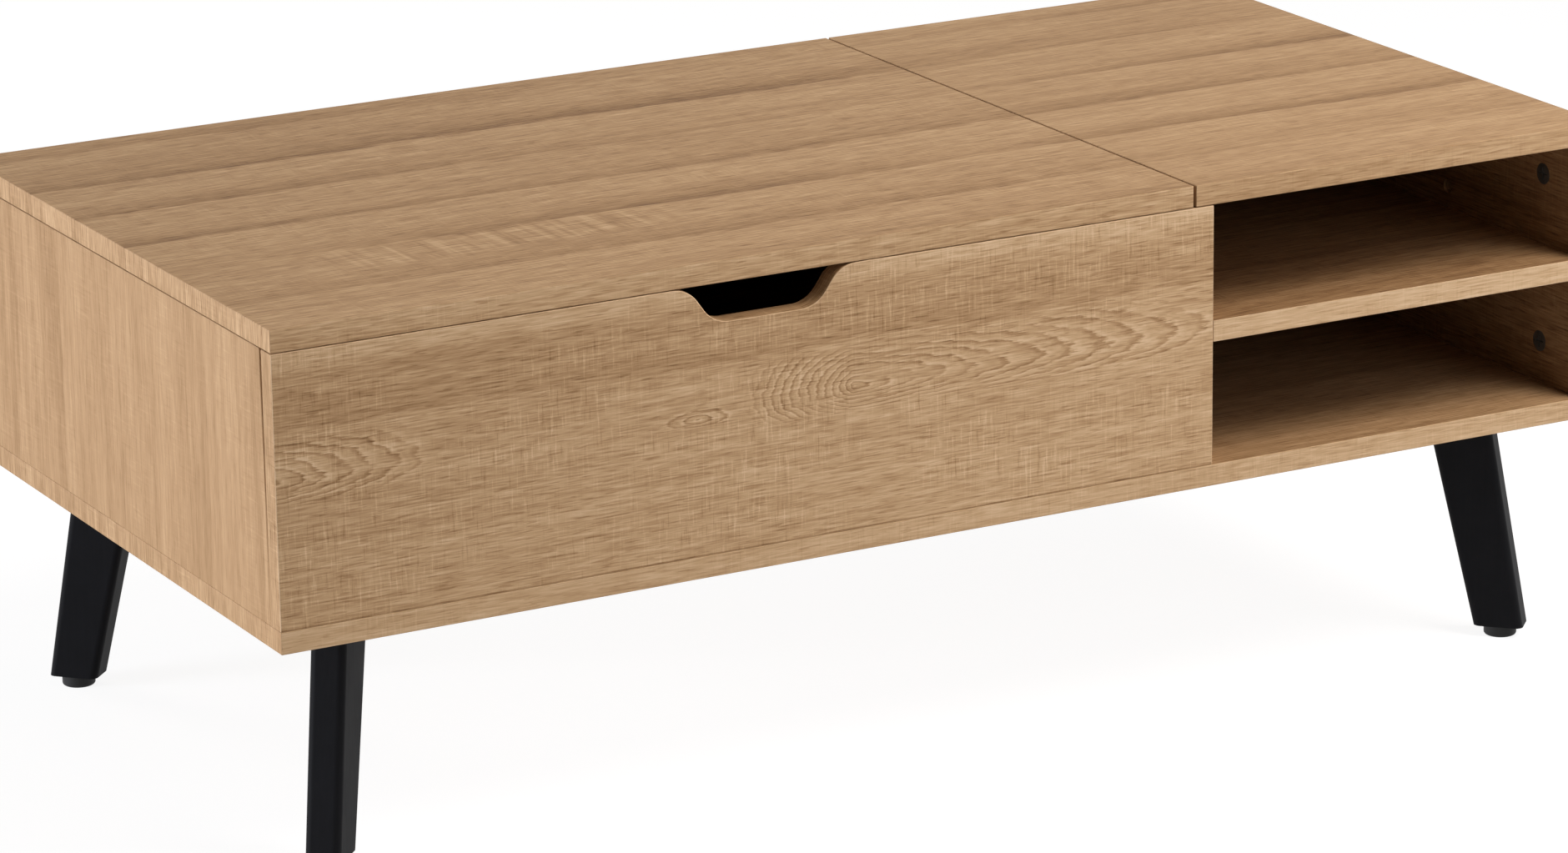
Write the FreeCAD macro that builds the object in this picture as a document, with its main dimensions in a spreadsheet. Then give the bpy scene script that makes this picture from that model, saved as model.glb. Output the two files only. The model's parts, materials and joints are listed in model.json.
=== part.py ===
# Lift-top coffee table: a board carcass on splayed legs, with a top that rises on two parallel-arm hinges.
# The front faces -Y, the storage box with the rising top is at -X, and the feet stand on Z = 0.
import math
import os
import re

import FreeCAD
import Part
import Sketcher

Vector = FreeCAD.Vector

# Driving dimensions in millimetres and degrees
SIZES = {
    # Carcass boards
    "length": 1000,
    "depth": 500,
    "board": 15,
    "inner_height": 180,
    "lid_gap": 0.5,
    "seam_gap": 2,
    "front_length": 685,
    "fixed_setback": 1,
    "lower_cubby": 85.5,
    "face_skin": 4,
    "edge_round": 0.7,
    "front_gap": 2.8,
    "spare_hole_diameter": 10,
    "spare_hole_inset": 162,
    "spare_hole_level": 116,
    # Finger notch in the front panel
    "notch_mouth": 111,
    "notch_floor": 75,
    "notch_depth": 25.5,
    "notch_round": 22,
    "notch_shift": 3,
    # Legs and glides
    "leg_height": 155.5,
    "leg_width_top": 45,
    "leg_width_foot": 35,
    "leg_thickness": 24,
    "leg_splay": 32,
    "leg_inset_x": 69.5,
    "leg_inset_y": 64.5,
    "leg_round": 5,
    "glide_height": 8,
    "glide_diameter": 23,
    "glide_round": 2,
    # Leg fixings
    "hanger_diameter": 8,
    "hanger_in_leg": 25,
    "insert_diameter": 12,
    "leg_bolt_offset": 9,
    "leg_dowel_offset": 11,
    # Cam locks, cam bolts and dowels
    "cam_diameter": 15,
    "cam_skin": 2.5,
    "cam_distance": 30,
    "cam_inset": 47,
    "cam_level": 75,
    "cam_spread": 100,
    "cam_bolt_diameter": 5,
    "cam_bolt_neck": 4,
    "cam_bolt_play": 0.3,
    "cam_channel": 7,
    "shelf_cam_inset": 60,
    "dowel_diameter": 8,
    "dowel_in_edge": 18,
    "dowel_chamfer": 1,
    "dowel_inset": 85,
    "dowel_level": 60,
    "dowel_spread": 220,
    # Lift hinges
    "arm_length": 250,
    "arm_width": 26,
    "arm_thickness": 3,
    "closed_tilt": 12,
    "lift_swing": 102,
    "pivot_spacing": 60,
    "pivot_height": 80,
    "plate": 2.5,
    "side_gap": 2,
    "washer_play": 0.2,
    "washer_diameter": 18,
    "stud_diameter": 8,
    "stud_head": 14,
    "stud_head_height": 1.6,
    "pivot_play": 0.05,
    "foot_width": 26,
    "plate_margin": 38,
    "plate_corner": 8,
    "foot_corner": 6,
    "post_margin": 14,
    "stop_margin": 9,
    "flange_width": 40,
    "flange_margin": 32,
    "flange_back_gap": 13,
    "bead_width": 9,
    "bead_height": 0.6,
    "bead_inset": 45,
    "stop_diameter": 8,
    "stop_play": 0.3,
    "stop_reach_open": 22,
    "stop_reach_closed": 95,
    # Springs and their posts
    "hook_radius": 34,
    "spring_reach": 115,
    "spring_wire": 2,
    "spring_coil": 13,
    "spring_turns": 22,
    "spring_offset": 17,
    "post_diameter": 6,
    "post_play": 0.4,
    "post_rim": 1.5,
    # Screws
    "screw_diameter": 3.5,
    "screw_head": 7,
    "screw_head_height": 2,
    "screw_edge": 10,
    "screw_level": 24,
    "glide_screw_in_leg": 18,
    "glide_screw_head": 8,
    "glide_screw_seat": 4,
}

doc = FreeCAD.newDocument("lift_top_table")
sheet = doc.addObject("Spreadsheet::Sheet", "sizes")
for row, (alias, number) in enumerate(SIZES.items(), 1):
    sheet.set(f"A{row}", alias)
    sheet.set(f"B{row}", str(number))
    sheet.setAlias(f"B{row}", alias)
doc.recompute()

nodes = []


# Expressions and values

def formula(text):
    """Turns plain names of sizes into references to the sheet's cells."""
    return re.sub(r"[a-z_]+", lambda word: f"sizes.{word[0]}" if word[0] in SIZES else word[0], text)


def value(text):
    """Works out a formula with the sheet's present numbers."""
    return float(sheet.evalExpression(formula(text)))


def bind(thing, path, text):
    """Ties a property of a document object to a formula."""
    thing.setExpression(path, formula(text))


def bind_place(thing, place, turn=None):
    """Puts an object at three formulas, turned by a fixed rotation."""
    if turn:
        thing.Placement = FreeCAD.Placement(Vector(), turn)
    for axis, text in zip("xyz", place):
        bind(thing, f"Placement.Base.{axis}", text)


# Sketches and features

def new_body(label, place=None, turn=None):
    """Starts a body; with a place it is a piece of the table, without one a pattern for copies."""
    body = doc.addObject("PartDesign::Body", label)
    body.Label = label
    if place:
        bind_place(body, place, turn)
        nodes.append(body)
    return body


def new_sketch(body, plane, offset="0"):
    """Attaches a sketch to one of the body's own planes, moved along the plane's normal."""
    sketch = body.newObject("Sketcher::SketchObject", f"{body.Label}_sketch")
    support = next(item for item in body.Origin.OriginFeatures if item.Role == f"{plane}_Plane")
    sketch.AttachmentSupport = [(support, "")]
    sketch.MapMode = "FlatFace"
    bind(sketch, "AttachmentOffset.Base.z", offset)
    return sketch


def pin_point(sketch, geometry, point, spot):
    """Holds a point of a sketch at two formulas from the sketch's origin."""
    for kind, text in zip(("DistanceX", "DistanceY"), spot):
        index = sketch.addConstraint(Sketcher.Constraint(kind, -1, 1, geometry, point, value(text)))
        bind(sketch, f"Constraints[{index}]", text)


def draw_outline(sketch, spots):
    """Draws a closed outline of straight lines through spots given as pairs of formulas."""
    corners = [Vector(value(across), value(up), 0) for across, up in spots]
    lines = [
        sketch.addGeometry(Part.LineSegment(start, end))
        for start, end in zip(corners, corners[1:] + corners[:1])
    ]
    for line, following in zip(lines, lines[1:] + lines[:1]):
        sketch.addConstraint(Sketcher.Constraint("Coincident", line, 2, following, 1))
    for line, spot in zip(lines, spots):
        pin_point(sketch, line, 1, spot)


def draw_circles(sketch, spots, diameter):
    """Draws equal circles round spots given as pairs of formulas."""
    for across, up in spots:
        centre = Vector(value(across), value(up), 0)
        circle = sketch.addGeometry(Part.Circle(centre, Vector(0, 0, 1), value(diameter) / 2))
        pin_point(sketch, circle, 3, (across, up))
        index = sketch.addConstraint(Sketcher.Constraint("Diameter", circle, value(diameter)))
        bind(sketch, f"Constraints[{index}]", diameter)


def draw_slot(sketch, start, end, width):
    """Draws a bar with round ends about two centres."""
    first = Vector(value(start[0]), value(start[1]), 0)
    last = Vector(value(end[0]), value(end[1]), 0)
    radius = value(width) / 2
    along = math.atan2(last.y - first.y, last.x - first.x)
    side = Vector(-math.sin(along), math.cos(along), 0) * radius
    quarter = math.pi / 2
    up = Vector(0, 0, 1)
    near = sketch.addGeometry(
        Part.ArcOfCircle(Part.Circle(first, up, radius), along + quarter, along + 3 * quarter))
    far = sketch.addGeometry(
        Part.ArcOfCircle(Part.Circle(last, up, radius), along - quarter, along + quarter))
    left = sketch.addGeometry(Part.LineSegment(first + side, last + side))
    right = sketch.addGeometry(Part.LineSegment(first - side, last - side))
    joins = ((near, 1, left, 1), (near, 2, right, 1), (far, 1, right, 2), (far, 2, left, 2))
    for join in joins:
        sketch.addConstraint(Sketcher.Constraint("Tangent", *join))
    pin_point(sketch, near, 3, start)
    pin_point(sketch, far, 3, end)
    index = sketch.addConstraint(Sketcher.Constraint("Radius", near, radius))
    bind(sketch, f"Constraints[{index}]", f"({width})/2")


def add_pad(body, sketch, thickness, reverse=False, midplane=False):
    """Gives a sketch its thickness."""
    pad = body.newObject("PartDesign::Pad", f"{body.Label}_pad")
    pad.Profile = sketch
    bind(pad, "Length", thickness)
    pad.Reversed = reverse
    pad.Midplane = midplane
    return pad


def add_pocket(body, sketch, depth=None, reverse=False):
    """Cuts a sketch to a depth, or right through both ways."""
    pocket = body.newObject("PartDesign::Pocket", f"{body.Label}_pocket")
    pocket.Profile = sketch
    if depth is None:
        pocket.Type = "ThroughAll"
        pocket.Midplane = True
    else:
        bind(pocket, "Length", depth)
        pocket.Reversed = reverse
    return pocket


def add_fillet(body, radius, chosen, curved=False):
    """Rounds the edges of the body so far that a test on middle and direction picks."""
    doc.recompute()
    base = body.Tip
    names = []
    for index, edge in enumerate(base.Shape.Edges, 1):
        start, end = edge.Vertexes[0].Point, edge.Vertexes[-1].Point
        straight = isinstance(edge.Curve, Part.Line)
        if (straight or curved) and chosen((start + end) / 2, (end - start).normalize()):
            names.append(f"Edge{index}")
    fillet = body.newObject("PartDesign::Fillet", f"{body.Label}_fillet")
    fillet.Base = (base, names)
    bind(fillet, "Radius", radius)
    return fillet


def turn_piece(body, profile, upright=False):
    """Turns a profile of (along, radius) formulas about the body's X axis, or its Z axis if upright."""
    sketch = new_sketch(body, "XZ")
    spots = [(radius, along) for along, radius in profile] if upright else profile
    draw_outline(sketch, spots)
    turned = body.newObject("PartDesign::Revolution", f"{body.Label}_turned")
    turned.Profile = sketch
    turned.ReferenceAxis = (sketch, ["V_Axis" if upright else "H_Axis"])
    turned.Angle = 360
    return turned


def copies(label, pattern, places):
    """Makes one piece of separate equal solids, each at three formulas with a turn."""
    links = []
    for place, turn in places:
        link = doc.addObject("App::Link", f"{label}_copy")
        link.LinkedObject = pattern
        bind_place(link, place, turn)
        links.append(link)
    group = doc.addObject("Part::Compound", label)
    group.Label = label
    group.Links = links
    nodes.append(group)
    return group


def facing(normal, along):
    """Turn that takes local Z to one axis and local X to another."""
    return FreeCAD.Rotation(Vector(*along), Vector(), Vector(*normal), "ZXY")


# Levels and planes of the carcass, as formulas
X_LEFT = "(-length/2)"
X_RIGHT = "(length/2)"
Y_FRONT = "(-depth/2)"
Y_BACK = "(depth/2)"
Z_BASE = "(leg_height + glide_height)"
Z_FLOOR = f"({Z_BASE} + board)"
Z_LID = f"({Z_FLOOR} + inner_height + lid_gap)"
Z_SHELF = f"({Z_FLOOR} + lower_cubby)"
X_STORE_LEFT = f"({X_LEFT} + board)"
X_DIVIDER = f"({X_LEFT} + front_length - board)"
X_CUBBY = f"({X_LEFT} + front_length)"
X_CUBBY_END = f"({X_RIGHT} - board)"
X_FIXED_TOP = f"({X_DIVIDER} + fixed_setback)"
Y_INSIDE = f"({Y_FRONT} + board)"
Y_INSIDE_BACK = f"({Y_BACK} - board)"
LIFT_LENGTH = "(front_length - board + fixed_setback - seam_gap)"
NOTCH_MIDDLE = "(front_length/2 + notch_shift)"
FACE_DEPTH = "(board - face_skin)"
CAM_DEPTH = "(board - cam_skin)"


# Boards

corners = {}
boards = {}


def make_board(label, plane, corner, across, up, lean="0"):
    """Makes a board from its least corner, a plane and formulas for its face and its first edge's lean."""
    body = new_body(label, corner)
    sketch = new_sketch(body, plane)
    draw_outline(sketch, (("0", "0"), (across, "0"), (across, up), (lean, up)))
    add_pad(body, sketch, "board", reverse=plane == "XZ")
    boards[label] = body
    corners[label] = corner


inside_depth = "depth - 2*board"
tall = "inner_height + lid_gap"
cubby_length = "length - front_length - board"
fixed_length = "length - front_length + board - fixed_setback"
make_board("bottom_panel", "XY", (X_LEFT, Y_FRONT, Z_BASE), "length", "depth")
make_board("left_side_panel", "YZ", (X_LEFT, Y_INSIDE, Z_FLOOR), inside_depth, "inner_height", "front_gap")
make_board("divider_panel", "YZ", (X_DIVIDER, Y_INSIDE, Z_FLOOR), inside_depth, tall)
make_board("right_side_panel", "YZ", (X_CUBBY_END, Y_FRONT, Z_FLOOR), "depth - board", tall)
make_board("front_panel", "XZ", (X_LEFT, Y_FRONT, Z_FLOOR), "front_length", "inner_height")
make_board("back_panel", "XZ", (X_LEFT, Y_INSIDE_BACK, Z_FLOOR), "length", "inner_height")
make_board("middle_shelf", "XY", (X_CUBBY, Y_FRONT, Z_SHELF), cubby_length, "depth - board")
make_board("fixed_top", "XY", (X_FIXED_TOP, Y_FRONT, Z_LID), fixed_length, "depth")
make_board("lift_top", "XY", (X_LEFT, Y_FRONT, Z_LID), LIFT_LENGTH, "depth")


def cut_notch(body):
    """Cuts the finger notch into the upper edge of the front panel and rounds its corners."""
    sketch = new_sketch(body, "XZ")
    floor = "inner_height - notch_depth"
    draw_outline(sketch, (
        (f"{NOTCH_MIDDLE} - notch_mouth/2", "inner_height"),
        (f"{NOTCH_MIDDLE} - notch_floor/2", floor),
        (f"{NOTCH_MIDDLE} + notch_floor/2", floor),
        (f"{NOTCH_MIDDLE} + notch_mouth/2", "inner_height"),
    ))
    add_pocket(body, sketch)
    reach = value("notch_mouth") / 2 + 1
    middle = value(NOTCH_MIDDLE)
    lowest = value(floor) - 1

    def at_notch(point, direction):
        return abs(direction.y) > 0.99 and abs(point.x - middle) < reach and point.z > lowest

    add_fillet(body, "notch_round", at_notch)


def ease_edges(label):
    """Rounds a board's edges slightly, except the smooth seams inside the finger notch."""
    middle = value(NOTCH_MIDDLE)
    notch_reach = value("notch_mouth") if label == "front_panel" else 0

    def sharp(point, direction):
        return abs(direction.y) < 0.99 or abs(point.x - middle) > notch_reach

    add_fillet(boards[label], "edge_round", sharp, curved=True)


cut_notch(boards["front_panel"])
for label in boards:
    ease_edges(label)


# Bores in the boards, gathered first and cut by face, width and depth

bores = {}
PLANES = {"x": "YZ", "y": "XZ", "z": "XY"}


def bore(label, axis, way, point, diameter, depth):
    """Notes a round bore that starts at a point and goes along an axis, way +1 or -1."""
    at = point["xyz".index(axis)]
    bores.setdefault((label, axis, way, at, diameter, depth), []).append(point)


def cut_bores():
    """Cuts every noted bore, one pocket for each set that shares a face, a width and a depth."""
    for (label, axis, way, at, diameter, depth), points in bores.items():
        plane = PLANES[axis]
        first, second = ("XYZ".index(letter) for letter in plane)
        normal = -1 if axis == "y" else 1
        corner = corners[label]
        offset = f"{normal}*({at} - {corner['xyz'.index(axis)]})"
        sketch = new_sketch(boards[label], plane, offset)
        spots = [
            (f"{point[first]} - {corner[first]}", f"{point[second]} - {corner[second]}") for point in points
        ]
        draw_circles(sketch, spots, diameter)
        add_pocket(boards[label], sketch, depth, reverse=way == normal)


def shift(point, direction, distance):
    """Moves a point of formulas along an axis direction."""
    return tuple(
        f"({text} + {step}*({distance}))" if step else text for text, step in zip(point, direction)
    )


def axis_of(direction):
    """Name and sense of an axis direction."""
    index = next(i for i, step in enumerate(direction) if step)
    return "xyz"[index], direction[index]


def opposite(direction):
    """Axis direction turned round."""
    return tuple(-step for step in direction)


cams = []
cam_bolts = []
dowels = []
UP, DOWN = (0, 0, 1), (0, 0, -1)
EAST, WEST = (1, 0, 0), (-1, 0, 0)
NORTH, SOUTH = (0, 1, 0), (0, -1, 0)


def join_with_cam(holder, face_point, normal, toward, mate):
    """Lets a cam into a board's face and runs its bolt through the edge into the mating board."""
    turn = facing(normal, toward)
    inner = shift(face_point, normal, "-board/2")
    edge = shift(inner, toward, "cam_distance")
    cams.append((face_point, turn))
    cam_bolts.append((edge, turn))
    face_axis, face_way = axis_of(opposite(normal))
    edge_axis, edge_way = axis_of(toward)
    bore(holder, face_axis, face_way, face_point, "cam_diameter", CAM_DEPTH)
    bore(holder, edge_axis, -edge_way, edge, "cam_channel", "cam_distance")
    bore(mate, edge_axis, edge_way, edge, "cam_bolt_diameter", FACE_DEPTH)


def join_with_dowel(holder, edge_point, toward, mate):
    """Sets a dowel across a joint, deeper in the edge than in the face."""
    upright = UP if toward[2] == 0 else EAST
    dowels.append((edge_point, facing(upright, toward)))
    axis, way = axis_of(toward)
    bore(holder, axis, -way, edge_point, "dowel_diameter", "dowel_in_edge")
    bore(mate, axis, way, edge_point, "dowel_diameter", FACE_DEPTH)


# Upright boards that run front to back: label, inner face, way the face looks, middle of the board
cross_boards = (
    ("left_side_panel", X_STORE_LEFT, EAST, f"({X_LEFT} + board/2)"),
    ("divider_panel", X_DIVIDER, WEST, f"({X_DIVIDER} + board/2)"),
    ("right_side_panel", X_CUBBY_END, WEST, f"({X_RIGHT} - board/2)"),
)
cam_rows = (f"({Y_FRONT} + cam_inset)", f"({Y_BACK} - cam_inset)")
dowel_rows = (f"({Y_FRONT} + dowel_inset)", f"({Y_BACK} - dowel_inset)")
z_cam_low = f"({Z_FLOOR} + cam_distance)"
z_cam_high = f"({Z_LID} - cam_distance)"
z_cam_side = f"({Z_FLOOR} + cam_level)"
z_dowel_side = f"({Z_FLOOR} + dowel_level)"

for label, face, looks, middle in cross_boards:
    for y_row in cam_rows:
        join_with_cam(label, (face, y_row, z_cam_low), looks, DOWN, "bottom_panel")
    for y_row in dowel_rows:
        join_with_dowel(label, (middle, y_row, Z_FLOOR), DOWN, "bottom_panel")
    back_cam = (face, f"({Y_INSIDE_BACK} - cam_distance)", z_cam_side)
    join_with_cam(label, back_cam, looks, NORTH, "back_panel")
    join_with_dowel(label, (middle, Y_INSIDE_BACK, z_dowel_side), NORTH, "back_panel")

for label, face, looks, middle in cross_boards[:2]:
    front_cam = (face, f"({Y_INSIDE} + cam_distance)", z_cam_side)
    join_with_cam(label, front_cam, looks, SOUTH, "front_panel")
    join_with_dowel(label, (middle, Y_INSIDE, z_dowel_side), SOUTH, "front_panel")

for label, face, looks, middle in cross_boards[1:]:
    for y_row in cam_rows:
        join_with_cam(label, (face, y_row, z_cam_high), looks, UP, "fixed_top")
    for y_row in dowel_rows:
        join_with_dowel(label, (middle, y_row, Z_LID), UP, "fixed_top")

front_ends = (f"({X_LEFT} + cam_spread)", f"({X_CUBBY} - cam_spread)")
back_ends = (f"({X_LEFT} + cam_spread)", "0", f"({X_RIGHT} - cam_spread)")
for x_row in front_ends:
    join_with_cam("front_panel", (x_row, Y_INSIDE, z_cam_low), NORTH, DOWN, "bottom_panel")
for x_row in back_ends:
    join_with_cam("back_panel", (x_row, Y_INSIDE_BACK, z_cam_low), SOUTH, DOWN, "bottom_panel")
for x_row in (f"({X_LEFT} + dowel_spread)", f"({X_CUBBY} - dowel_spread)"):
    join_with_dowel("front_panel", (x_row, f"({Y_FRONT} + board/2)", Z_FLOOR), DOWN, "bottom_panel")
for x_row in (f"({X_LEFT} + dowel_spread)", f"({X_RIGHT} - dowel_spread)"):
    join_with_dowel("back_panel", (x_row, f"({Y_BACK} - board/2)", Z_FLOOR), DOWN, "bottom_panel")

for y_row in (f"({Y_FRONT} + shelf_cam_inset)", f"({Y_INSIDE_BACK} - shelf_cam_inset)"):
    near_cam = (f"({X_CUBBY} + cam_distance)", y_row, Z_SHELF)
    far_cam = (f"({X_CUBBY_END} - cam_distance)", y_row, Z_SHELF)
    join_with_cam("middle_shelf", near_cam, DOWN, WEST, "divider_panel")
    join_with_cam("middle_shelf", far_cam, DOWN, EAST, "right_side_panel")

spare_hole = (X_CUBBY_END, f"({Y_FRONT} + spare_hole_inset)", f"({Z_FLOOR} + spare_hole_level)")
bore("right_side_panel", "x", 1, spare_hole, "spare_hole_diameter", FACE_DEPTH)


def make_cam_pattern():
    """Cam lock: a disc flush with the board, hollow for the bolt's head, with a driver cross."""
    body = new_body("cam_pattern")
    disc = new_sketch(body, "XY")
    draw_circles(disc, (("0", "0"),), "cam_diameter")
    add_pad(body, disc, CAM_DEPTH, reverse=True)
    hollow = new_sketch(body, "YZ", "cam_diameter/2")
    draw_circles(hollow, (("0", "-board/2"),), "cam_channel + 2*cam_bolt_play")
    add_pocket(body, hollow, "cam_diameter/2 + cam_channel/2 + 1")
    half_long, half_wide = "cam_diameter*0.3", "0.6"
    for across, up in ((half_long, half_wide), (half_wide, half_long)):
        bar = new_sketch(body, "XY")
        draw_outline(bar, ((f"-{across}", f"-{up}"), (across, f"-{up}"), (across, up), (f"-{across}", up)))
        add_pocket(body, bar, "cam_skin*0.8")
    return body


def make_cam_bolt_pattern():
    """Cam bolt: thread in the mating board, shaft, neck and the head that the cam draws in."""
    body = new_body("cam_bolt_pattern")
    turn_piece(body, (
        ("-cam_distance - 2", "0"),
        ("-cam_distance - 2", "cam_channel/2"),
        ("-cam_distance + 2", "cam_channel/2"),
        ("-cam_distance + 2", "cam_bolt_neck/2"),
        ("-cam_distance + cam_diameter/2", "cam_bolt_neck/2"),
        ("-cam_distance + cam_diameter/2", "cam_channel/2 - cam_bolt_play"),
        ("0", "cam_channel/2 - cam_bolt_play"),
        ("0", "cam_bolt_diameter/2"),
        (FACE_DEPTH, "cam_bolt_diameter/2"),
        (FACE_DEPTH, "0"),
    ))
    return body


def make_dowel_pattern():
    """Beech dowel with chamfered ends."""
    body = new_body("dowel_pattern")
    turn_piece(body, (
        ("-dowel_in_edge", "0"),
        ("-dowel_in_edge", "dowel_diameter/2 - dowel_chamfer"),
        ("dowel_chamfer - dowel_in_edge", "dowel_diameter/2"),
        (f"{FACE_DEPTH} - dowel_chamfer", "dowel_diameter/2"),
        (FACE_DEPTH, "dowel_diameter/2 - dowel_chamfer"),
        (FACE_DEPTH, "0"),
    ))
    return body


# Legs with their glides and fixings

LEG_CORNERS = (("front_left", -1, -1), ("front_right", 1, -1), ("rear_right", 1, 1), ("rear_left", -1, 1))


def diagonal_spot(side_x, side_y, reach, level):
    """Spot on the diagonal of a corner, a reach outwards from the middle of the leg's top."""
    return (
        f"({side_x}*(length/2 - leg_inset_x + ({reach})*sqrt(0.5)))",
        f"({side_y}*(depth/2 - leg_inset_y + ({reach})*sqrt(0.5)))",
        level,
    )


def make_leg(label, place, turn):
    """Flat tapered leg that leans outwards along the diagonal, with rounded long edges."""
    body = new_body(label, place, turn)
    profile = new_sketch(body, "XZ")
    draw_outline(profile, (
        ("leg_splay - leg_width_foot/2", "0"),
        ("leg_splay + leg_width_foot/2", "0"),
        ("leg_width_top/2", "leg_height"),
        ("-leg_width_top/2", "leg_height"),
    ))
    add_pad(body, profile, "leg_thickness", midplane=True)
    add_fillet(body, "leg_round", lambda point, direction: abs(direction.z) > 0.8)
    hanger = new_sketch(body, "XY", "leg_height")
    draw_circles(hanger, (("-leg_bolt_offset", "0"),), "hanger_diameter")
    add_pocket(body, hanger, "hanger_in_leg")
    locator = new_sketch(body, "XY", "leg_height")
    draw_circles(locator, (("leg_dowel_offset", "0"),), "dowel_diameter")
    add_pocket(body, locator, "dowel_in_edge")
    pilot = new_sketch(body, "XY")
    draw_circles(pilot, (("leg_splay", "0"),), "screw_diameter")
    add_pocket(body, pilot, "glide_screw_in_leg", reverse=True)


def make_glide(label, place):
    """Round plastic glide with a rounded rim and a sunk seat for its screw."""
    body = new_body(label, place)
    turn_piece(body, (
        ("0", "glide_screw_head/2 + 0.5"),
        ("0", "glide_diameter/2"),
        ("glide_height", "glide_diameter/2"),
        ("glide_height", "screw_diameter/2"),
        ("glide_screw_seat", "screw_diameter/2"),
        ("glide_screw_seat", "glide_screw_head/2 + 0.5"),
    ), upright=True)
    doc.recompute()
    rim = value("glide_diameter/2") - 0.1
    base = body.Tip
    lower_rim = [
        f"Edge{index}" for index, edge in enumerate(base.Shape.Edges, 1)
        if isinstance(edge.Curve, Part.Circle) and edge.Curve.Radius > rim and edge.Curve.Center.z < 0.1
    ]
    fillet = body.newObject("PartDesign::Fillet", f"{label}_fillet")
    fillet.Base = (base, lower_rim)
    bind(fillet, "Radius", "glide_round")


hangers = []
inserts = []
leg_dowels = []
glide_screws = []
upwards = facing(EAST, UP)
for corner_name, side_x, side_y in LEG_CORNERS:
    turn = FreeCAD.Rotation(Vector(0, 0, 1), math.degrees(math.atan2(side_y, side_x)))
    make_leg(f"{corner_name}_leg", diagonal_spot(side_x, side_y, "0", "glide_height"), turn)
    make_glide(f"{corner_name}_glide", diagonal_spot(side_x, side_y, "leg_splay", "0"))
    bolt_spot = diagonal_spot(side_x, side_y, "-leg_bolt_offset", Z_BASE)
    dowel_spot = diagonal_spot(side_x, side_y, "leg_dowel_offset", Z_BASE)
    hangers.append((bolt_spot, upwards))
    inserts.append((bolt_spot, upwards))
    leg_dowels.append((dowel_spot, upwards))
    glide_screws.append((diagonal_spot(side_x, side_y, "leg_splay", "glide_screw_seat"), upwards))
    bore("bottom_panel", "z", 1, bolt_spot, "insert_diameter", FACE_DEPTH)
    bore("bottom_panel", "z", 1, dowel_spot, "dowel_diameter", FACE_DEPTH)


def make_hanger_pattern():
    """Hanger bolt: one end in the leg, the other in the insert."""
    body = new_body("hanger_pattern")
    turn_piece(body, (
        ("-hanger_in_leg", "0"),
        ("-hanger_in_leg", "hanger_diameter/4"),
        ("hanger_diameter/2 - hanger_in_leg", "hanger_diameter/2"),
        (FACE_DEPTH, "hanger_diameter/2"),
        (FACE_DEPTH, "0"),
    ))
    return body


def make_insert_pattern():
    """Threaded insert in the bottom panel."""
    body = new_body("insert_pattern")
    turn_piece(body, (
        ("0", "hanger_diameter/2"),
        ("0", "insert_diameter/2"),
        (FACE_DEPTH, "insert_diameter/2"),
        (FACE_DEPTH, "hanger_diameter/2"),
    ))
    return body


def make_screw_pattern(label, head, in_wood, through):
    """Pan-head screw; its head bears at X = 0 and its shank runs to +X."""
    body = new_body(label)
    turn_piece(body, (
        ("-screw_head_height", "0"),
        ("-screw_head_height", f"{head}/2 - 1"),
        ("-screw_head_height/2", f"{head}/2"),
        ("0", f"{head}/2"),
        ("0", "screw_diameter/2"),
        (f"{through} + {in_wood} - screw_diameter", "screw_diameter/2"),
        (f"{through} + {in_wood}", "0"),
    ))
    return body


# Lift hinges: pivots at rest, as formulas. A and B are on the base, C and D on the top.
LINK_TILT = "(90 - closed_tilt - lift_swing/2)"
LINK_Y = f"(pivot_spacing*cos({LINK_TILT}))"
LINK_Z = f"(-pivot_spacing*sin({LINK_TILT}))"
ARM_Y = "(arm_length*cos(closed_tilt))"
ARM_Z = "(arm_length*sin(closed_tilt))"
D_Y = f"({Y_INSIDE_BACK} - flange_back_gap - flange_margin)"
C_Y = f"({D_Y} - {LINK_Y})"
A_Y = f"({C_Y} - {ARM_Y})"
B_Y = f"({A_Y} + {LINK_Y})"
A_Z = f"({Z_FLOOR} + pivot_height)"
B_Z = f"({A_Z} + {LINK_Z})"
C_Z = f"({A_Z} + {ARM_Z})"
D_Z = f"({B_Z} + {ARM_Z})"

# Spring posts: the hook swings evenly about straight down, so the spring lies level at both ends
HOOK_Y = f"({B_Y} - hook_radius*sin(lift_swing/2))"
HOOK_Z = f"({B_Z} - hook_radius*cos(lift_swing/2))"
ANCHOR_Y = f"({B_Y} + spring_reach)"

# Stop pins: one before the raised front arm, one under the lowered rear arm
STOP_SIDE = "(arm_width/2 + stop_diameter/2 + stop_play)"
OPEN_TILT = "(closed_tilt + lift_swing)"
OPEN_STOP = (
    f"({A_Y} + stop_reach_open*cos({OPEN_TILT}) - {STOP_SIDE}*sin({OPEN_TILT}))",
    f"({A_Z} + stop_reach_open*sin({OPEN_TILT}) + {STOP_SIDE}*cos({OPEN_TILT}))",
)
CLOSED_STOP = (
    f"({B_Y} + stop_reach_closed*cos(closed_tilt) + {STOP_SIDE}*sin(closed_tilt))",
    f"({B_Z} + stop_reach_closed*sin(closed_tilt) - {STOP_SIDE}*cos(closed_tilt))",
)

# Depths from the wall that a hinge is screwed to
ARM_NEAR = "(plate + side_gap)"
ARM_FAR = f"({ARM_NEAR} + arm_thickness)"
FLANGE_NEAR = f"({ARM_FAR} + side_gap)"
FLANGE_FAR = f"({FLANGE_NEAR} + plate)"


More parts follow.
